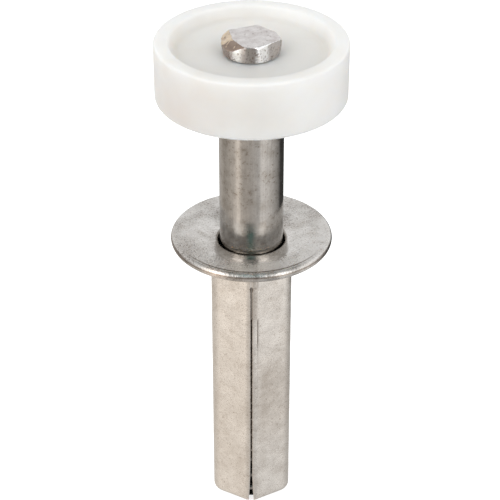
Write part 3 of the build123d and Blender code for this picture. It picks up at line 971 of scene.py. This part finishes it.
class GUIDEWHEEL_OT_bushing(Operator):
    """Fold the bushing in one skin: hemmed flange, rolled mouth, neck, barrel, seam and turned-in end"""
    bl_idname = "guidewheel.bushing"
    bl_label = "Folded bushing"

    def execute(self, context):
        s = context.scene.guide_wheel_bushing
        stations = barrel_stations(s)
        last = len(stations) - 1
        neck_outer = s.neck_radius + s.sheet
        slope = math.degrees(s.dish_slope)
        mouth_r = s.neck_radius + s.neck_bend
        dish_z = s.flange_top - s.dish_bend
        over = (s.dish_bend - s.neck_bend) / math.cos(s.dish_slope)
        mouth_z = dish_z + over - (s.dish_radius - mouth_r) * math.tan(s.dish_slope)
        half_top = s.flange_top / 2
        fold_r = s.flange_diameter / 2 - half_top
        hem_r = s.hem_reach + s.sheet / 2
        under_z = s.flange_top - s.sheet
        outline = [Vector((s.neck_radius, -s.neck_drop))]
        outline += arc(mouth_r, mouth_z, s.neck_bend, 180, 90 + slope, 12)
        outline += arc(s.dish_radius, dish_z, s.dish_bend, 90 + slope, 90, 10)
        outline += arc(fold_r, half_top, half_top, 90, -90, 26)
        outline += arc(hem_r, s.sheet / 2, s.sheet / 2, 270, 90, 10)
        outline += [Vector((fold_r, s.sheet)), Vector((fold_r, under_z))]
        outline += arc(s.dish_radius, dish_z, s.dish_bend - s.sheet, 90, 90 + slope, 10)
        outline += arc(mouth_r, mouth_z, s.neck_bend - s.sheet, 90 + slope, 180, 4)
        outline += [Vector((neck_outer, -s.neck_drop))]
        outline = spaced(outline, 0.7 * MM, closed=False)

        bend_z = s.barrel_end + s.end_bend
        path = []
        start_z = -s.neck_drop
        for k in range(1, NECK_ROWS + 1):
            z = start_z - NECK_LENGTH * k / NECK_ROWS
            path.append((0.0, z, s.sheet, z))
        start_z -= NECK_LENGTH
        for k in range(1, BARREL_ROWS + 1):
            z = start_z + (bend_z - start_z) * k / BARREL_ROWS
            path.append((0.0, z, s.sheet, z))
        for k in range(1, BEND_ROWS + 1):
            a = math.radians(90 * k / BEND_ROWS)
            inner = s.end_bend - s.sheet
            path.append((s.end_bend - s.end_bend * math.cos(a), bend_z - s.end_bend * math.sin(a),
                         s.end_bend - inner * math.cos(a), bend_z - inner * math.sin(a)))
        for k in range(1, LIP_ROWS + 1):
            inset = s.end_bend + (s.end_lip - s.end_bend) * k / LIP_ROWS
            path.append((inset, s.barrel_end, inset, s.barrel_end + s.sheet))

        def barrel_point(i, inset, z, seam_z):
            """Place of a station on the barrel's surface at an inset from its outer face."""
            corner, facing = stations[i]
            from_seam = min(i, last - i)
            side, gap, edge_pull = 0, 0.0, 0.0
            if from_seam <= CORNER_STEPS:
                side = 1 if i == from_seam else -1
                gap = seam_half_gap(s, seam_z, side)
                first = math.degrees(math.asin(min(0.9, gap / s.corner_radius)))
                swing = first + (30 - first) * from_seam / CORNER_STEPS
                facing = -90 + swing if side > 0 else 270 - swing
                edge_pull = SEAM_BREAK * max(0.0, 1 - from_seam / 2)
            a = math.radians(facing)
            normal = Vector((math.cos(a), math.sin(a)))
            shrink = edge_pull if inset < s.sheet / 2 else 0.0
            flat = corner + normal * (s.corner_radius - inset - shrink)
            neck = s.neck_radius + s.sheet - inset + max(0.0, -s.neck_drop - z)
            reach = flat.length
            if neck < 2 * reach:
                flat *= (reach**-NECK_BLEND + neck**-NECK_BLEND) ** (-1 / NECK_BLEND) / reach
            if side and side * flat.x < gap:
                flat.x = side * gap
            place = Vector((flat.x, flat.y, z))
            if inset == 0.0:
                out = Vector((normal.x, normal.y, 0))
                place += out * BARREL_WAVE * fine_noise(place, 2.4 * MM, 8)
            return place

        bm = bmesh.new()
        columns = []
        for i, (corner, facing) in enumerate(stations):
            a = math.radians(facing)
            spot = corner + Vector((math.cos(a), math.sin(a))) * s.corner_radius
            turn = math.atan2(spot.y, spot.x)
            column = []
            for r, z in outline:
                place = Vector((r * math.cos(turn), r * math.sin(turn), z))
                if z > under_z and r > s.neck_radius + 0.4 * MM:
                    place.z += FLANGE_WAVE * fine_noise(place, 3 * MM, 9)
                column.append(bm.verts.new(place))
            outer = [bm.verts.new(barrel_point(i, d, z, z)) for d, z, _, _ in path]
            inner = [bm.verts.new(barrel_point(i, d, z, oz)) for _, oz, d, z in path]
            columns.append((column, outer, inner))
        rings = []
        for column, outer, inner in columns:
            rings.append(column + outer + inner[::-1])
        inside = len(outline) + len(path) + 3
        for n, face in enumerate(skin(bm, rings, closed_rings=False)):
            face.material_index = 1 if inside <= n % len(rings[0]) < len(rings[0]) - 1 else 0
        for k in range(len(path) - 1):
            if path[k + 1][1] < -s.seam_top:
                for side in (0, last):
                    _, outer, inner = columns[side]
                    bm.faces.new((outer[k], outer[k + 1], inner[k + 1], inner[k]))
        materials = [plated_sheet_material(s), bore_painted_shade_material(s)]
        piece = finish_mesh("folded_bushing", bm, materials, "bushing", 40)
        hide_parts("bushing")
        return {"FINISHED"}


class GUIDEWHEEL_OT_spring(Operator):
    """Wind the coil spring, its closed ends ground flat"""
    bl_idname = "guidewheel.spring"
    bl_label = "Coil spring"

    def execute(self, context):
        s = context.scene.guide_wheel_spring
        low, high = SPRING_LOW.z, SPRING_HIGH.z
        centre = s.radius - s.wire / 2
        turns = s.turns + 2
        per_turn, sides = 40, 14
        rise = high - low - 2 * s.wire
        bm = bmesh.new()
        rings = []
        for i in range(turns * per_turn + 1):
            t = i / per_turn
            if t < 1:
                z = low + s.wire * t
            elif t > turns - 1:
                z = high - s.wire * (turns - t)
            else:
                z = low + s.wire + rise * (t - 1) / s.turns
            a = 2 * math.pi * t
            out = Vector((math.cos(a), math.sin(a), 0))
            ring = []
            for j in range(sides):
                b = 2 * math.pi * j / sides
                place = out * (centre + s.wire / 2 * math.cos(b))
                place.z = min(high, max(low, z + s.wire / 2 * math.sin(b)))
                ring.append(bm.verts.new(place))
            rings.append(ring)
        skin(bm, rings, closed_rings=False)
        bm.faces.new(rings[0])
        bm.faces.new(rings[-1][::-1])
        piece = finish_mesh("coil_spring", bm, [spring_wire_material(s)], "bushing", 50)
        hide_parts("spring")
        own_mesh(piece)
        return {"FINISHED"}


# Brightness of the light tent round the object. A stop is a compass angle in degrees, 0 towards the camera
# and growing to the right, and a brightness. The rings go from steeply below the horizon to high above it,
# and TENT_ZENITH is the brightness overhead
TENT_STEEP = [(-180, 0.70), (-131, 0.71), (-104, 0.76), (-83, 0.84), (-60, 0.88), (-50, 0.74), (-40, 0.70),
              (-19, 0.68), (0, 0.60), (19, 0.64), (34, 0.58), (50, 0.62), (60, 0.76), (89, 0.66), (120, 0.56),
              (180, 0.60)]
TENT_LOW = [(-180, 0.10), (-172, 0.20), (-158, 0.62), (-131, 0.68), (-104, 0.60), (-83, 0.74), (-65, 0.88),
            (-52, 1.46), (-45, 1.46), (-34, 0.84), (-19, 0.70), (-5, 0.74), (9, 0.80), (26, 0.80), (35, 1.34),
            (46, 1.34), (56, 1.20), (70, 1.02), (89, 0.72), (111, 0.36), (124, 0.06), (176, 0.06),
            (180, 0.10)]
TENT_LEVEL = [(-180, 0.78), (-130, 0.80), (-104, 0.95), (-70, 1.1), (-58, 2.7), (-34, 2.7), (-24, 0.7),
              (-14, 0.40), (14, 0.40), (24, 0.60), (34, 2.4), (50, 2.4), (60, 1.1), (90, 1.05), (130, 0.80),
              (180, 0.78)]
TENT_HIGH = [(-180, 0.78), (-130, 0.80), (-100, 0.95), (-70, 1.1), (-58, 2.7), (-34, 2.7), (-18, 0.75),
             (16, 0.75), (34, 2.3), (50, 2.3), (60, 1.2), (75, 1.10), (100, 0.80), (130, 0.80), (180, 0.78)]
TENT_ZENITH = 0.50
# The brightest tone that the tent's colour ramps can hold
TENT_PEAK = 3.0
# Warmth of the light from below the horizon over the same compass angle
TENT_WARMTH = [(-180, (1.0, 0.96, 0.92)), (-120, (1.0, 0.93, 0.85)), (-20, (1.0, 0.93, 0.86)),
               (30, (1.0, 0.985, 0.97)), (120, (1.0, 0.975, 0.95)), (180, (1.0, 0.96, 0.92))]
# Colour of the dark camera that the metal mirrors, and cosines of the angle off it over which it fades in
CAMERA_SHADE = (0.09, 0.16, 0.17)
CAMERA_EDGE = (0.982, 0.993)
# Tint of the light from high above the camera over the same compass angle
TENT_TEAL = [(-24, 1.0), (-12, (0.36, 0.66, 0.64)), (6, (0.36, 0.66, 0.64)), (16, 1.0)]
# Heights over which a ring of the tent gives way to the next, and over which the teal tint starts, from -1
# straight down to 1 straight up
STEEP_TO_LOW, LOW_TO_LEVEL = (-0.56, -0.53), (-0.22, -0.06)
LEVEL_TO_HIGH, HIGH_TO_ZENITH = (0.26, 0.42), (0.66, 0.86)
TEAL_START = (0.50, 0.68)
# Radii in metres of the floor's inner rings, and faces round it
FLOOR_RINGS = (0.05, 0.12, 0.3, 0.6)
FLOOR_SIDES = 96


def tent_ramp(tree, turn, stops):
    """Brightness over the compass angle, as a colour ramp."""
    return ramp(tree, turn, [(a / 360 + 0.5, value / TENT_PEAK) for a, value in stops])


class GUIDEWHEEL_OT_stage(Operator):
    """Set the pale floor, the soft light tent and the camera"""
    bl_idname = "guidewheel.stage"
    bl_label = "Stage"

    def execute(self, context):
        s = context.scene.guide_wheel_stage
        self.make_floor(s)
        self.make_tent(context, s)
        self.make_lights(context)
        self.make_camera(context, s)
        context.scene.view_settings.view_transform = "Standard"
        return {"FINISHED"}

    def make_floor(self, s):
        """A round pale floor that glows for the camera only, with a painted shadow, a dark disc, where it
        closes the barrel.
        """
        bm = bmesh.new()
        rings = []
        for r in (0.0, s.hidden_radius, *FLOOR_RINGS, s.floor_radius):
            ring = []
            for i in range(FLOOR_SIDES):
                a = 2 * math.pi * i / FLOOR_SIDES
                ring.append(bm.verts.new((r * math.cos(a), r * math.sin(a), BUSHING_LOW.z)))
            rings.append(ring)
        for n, face in enumerate(skin(bm, rings, closed_rings=False)):
            face.material_index = 1 if n < FLOOR_SIDES else 0
        bmesh.ops.remove_doubles(bm, verts=bm.verts, dist=1e-7)
        mesh = bpy.data.meshes.new("pale_floor")
        bm.to_mesh(mesh)
        bm.free()
        material, tree, shader = new_material("pale_floor")
        shader.inputs["Base Color"].default_value = (*s.floor_colour, 1)
        shader.inputs["Roughness"].default_value = 0.9
        shader.inputs["Specular IOR Level"].default_value = 0.0
        shader.inputs["Emission Color"].default_value = (1, 1, 1, 1)
        path = tree.nodes.new("ShaderNodeLightPath")
        glow = times(tree, path.outputs["Is Camera Ray"], s.floor_glow)
        tree.links.new(glow, shader.inputs["Emission Strength"])
        mesh.materials.append(material)
        # Painted shadow: a near black disc on the floor inside the barrel's open end
        painted_shadow, _, shader = new_material("painted_shadow_inside_barrel")
        shader.inputs["Base Color"].default_value = (0.02, 0.016, 0.013, 1)
        shader.inputs["Roughness"].default_value = 0.9
        mesh.materials.append(painted_shadow)
        floor = bpy.data.objects.new("pale_floor", mesh)
        bpy.context.scene.collection.objects.link(floor)
        floor.visible_glossy = False

    def make_tent(self, context, s):
        """The world: a light tent of stacked rings, each with its own brightness round the compass."""
        world = bpy.data.worlds.new("light_tent")
        context.scene.world = world
        world.use_nodes = True
        tree = world.node_tree
        background = next(n for n in tree.nodes if n.type == "BACKGROUND")
        coordinates = tree.nodes.new("ShaderNodeTexCoord")
        axes = axis_values(tree, coordinates.outputs["Generated"])
        toward = times(tree, axes["Y"], -1.0)
        turn = calculated(tree, "ARCTAN2", axes["X"], toward)
        turn = times(tree, turn, 1 / (2 * math.pi))
        turn = plus(tree, turn, 0.5)
        steep = tent_ramp(tree, turn, TENT_STEEP)
        low = tent_ramp(tree, turn, TENT_LOW)
        high = tent_ramp(tree, turn, TENT_HIGH)
        low = mixed(tree, scaled(tree, axes["Z"], *STEEP_TO_LOW), steep, low)
        warmth = ramp(tree, turn, [(a / 360 + 0.5, tone) for a, tone in TENT_WARMTH])
        low = multiplied(tree, low, warmth)
        level = tent_ramp(tree, turn, TENT_LEVEL)
        high = mixed(tree, scaled(tree, axes["Z"], *LEVEL_TO_HIGH), level, high)
        zenith = tinted((1.0, 1.0, 1.0), TENT_ZENITH / TENT_PEAK)
        high = mixed(tree, scaled(tree, axes["Z"], *HIGH_TO_ZENITH), high, zenith)
        teal = ramp(tree, turn, [(a / 360 + 0.5, tint) for a, tint in TENT_TEAL])
        high = mixed(tree, scaled(tree, axes["Z"], *TEAL_START), high, teal, "MULTIPLY")
        tone = mixed(tree, scaled(tree, axes["Z"], *LOW_TO_LEVEL), low, high)
        aim = tree.nodes.new("ShaderNodeVectorMath")
        aim.operation = "DOT_PRODUCT"
        aim.inputs[1].default_value = Vector(s.camera_place).normalized()
        tree.links.new(coordinates.outputs["Generated"], aim.inputs[0])
        shade = scaled(tree, aim.outputs["Value"], *CAMERA_EDGE)
        tone = mixed(tree, shade, tone, tinted(CAMERA_SHADE, 1 / TENT_PEAK))
        path = tree.nodes.new("ShaderNodeLightPath")
        tone = mixed(tree, path.outputs["Is Camera Ray"], tone, tinted((1.0, 1.0, 1.0), 1 / TENT_PEAK))
        tree.links.new(tone, background.inputs["Color"])
        background.inputs["Strength"].default_value = TENT_PEAK * s.tent_strength

    def make_lights(self, context):
        """Four soft lamps that the metal does not mirror."""
        for name, place, size, power in (
            ("left_softbox", (-0.45, -0.35, 0.45), 0.5, 0.03),
            ("right_softbox", (0.5, -0.25, 0.4), 0.4, 0.14),
            ("top_softbox", (0.0, -0.20, 0.7), 0.5, 0.50),
            ("front_softbox", (0.15, -0.6, 0.14), 0.3, 0.02),
        ):
            light = bpy.data.lights.new(name, "AREA")
            light.size = size
            light.energy = power
            lamp = bpy.data.objects.new(name, light)
            lamp.location = place
            lamp.rotation_euler = Vector(place).to_track_quat("Z", "Y").to_euler()
            lamp.visible_glossy = False
            context.scene.collection.objects.link(lamp)

    def make_camera(self, context, s):
        """The camera at the photo's angle."""
        data = bpy.data.cameras.new("photo_camera")
        data.lens = s.lens
        data.sensor_width = 36.0
        data.clip_start = 0.01
        data.clip_end = 10.0
        camera = bpy.data.objects.new("photo_camera", data)
        camera.location = s.camera_place
        camera.rotation_euler = (math.pi / 2 - s.camera_dip, 0, 0)
        context.scene.collection.objects.link(camera)
        context.scene.camera = camera


class GUIDEWHEEL_PT_panel(Panel):
    """Lists the pieces of the guide wheel and the sizes that shape them"""
    bl_label = "Guide wheel"
    bl_idname = "GUIDEWHEEL_PT_panel"
    bl_space_type = "VIEW_3D"
    bl_region_type = "UI"
    bl_category = "Guide wheel"

    def draw(self, context):
        for operator, settings in GROUPS:
            box = self.layout.box()
            box.operator(operator.bl_idname)
            group = getattr(context.scene, settings)
            for name in group.__annotations__:
                box.prop(group, name)


GROUPS = (
    (GUIDEWHEEL_OT_wheel, "guide_wheel_wheel"),
    (GUIDEWHEEL_OT_plunger, "guide_wheel_plunger"),
    (GUIDEWHEEL_OT_bushing, "guide_wheel_bushing"),
    (GUIDEWHEEL_OT_spring, "guide_wheel_spring"),
    (GUIDEWHEEL_OT_stage, "guide_wheel_stage"),
)
SETTINGS = (WheelSettings, PlungerSettings, BushingSettings, SpringSettings, StageSettings)


def register():
    """Registers the settings, the operators and the panel."""
    for group in SETTINGS:
        bpy.utils.register_class(group)
    for (operator, name), group in zip(GROUPS, SETTINGS):
        bpy.utils.register_class(operator)
        setattr(bpy.types.Scene, name, PointerProperty(type=group))
    bpy.utils.register_class(GUIDEWHEEL_PT_panel)


def unregister():
    """Undoes register, in reverse order."""
    bpy.utils.unregister_class(GUIDEWHEEL_PT_panel)
    for (operator, name), group in reversed(list(zip(GROUPS, SETTINGS))):
        delattr(bpy.types.Scene, name)
        bpy.utils.unregister_class(operator)
    for group in reversed(SETTINGS):
        bpy.utils.unregister_class(group)


def main():
    """Registers the classes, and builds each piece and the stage."""
    register()
    bpy.ops.guidewheel.wheel()
    bpy.ops.guidewheel.plunger()
    bpy.ops.guidewheel.bushing()
    bpy.ops.guidewheel.spring()
    bpy.ops.guidewheel.stage()


if __name__ == "__main__":
    main()
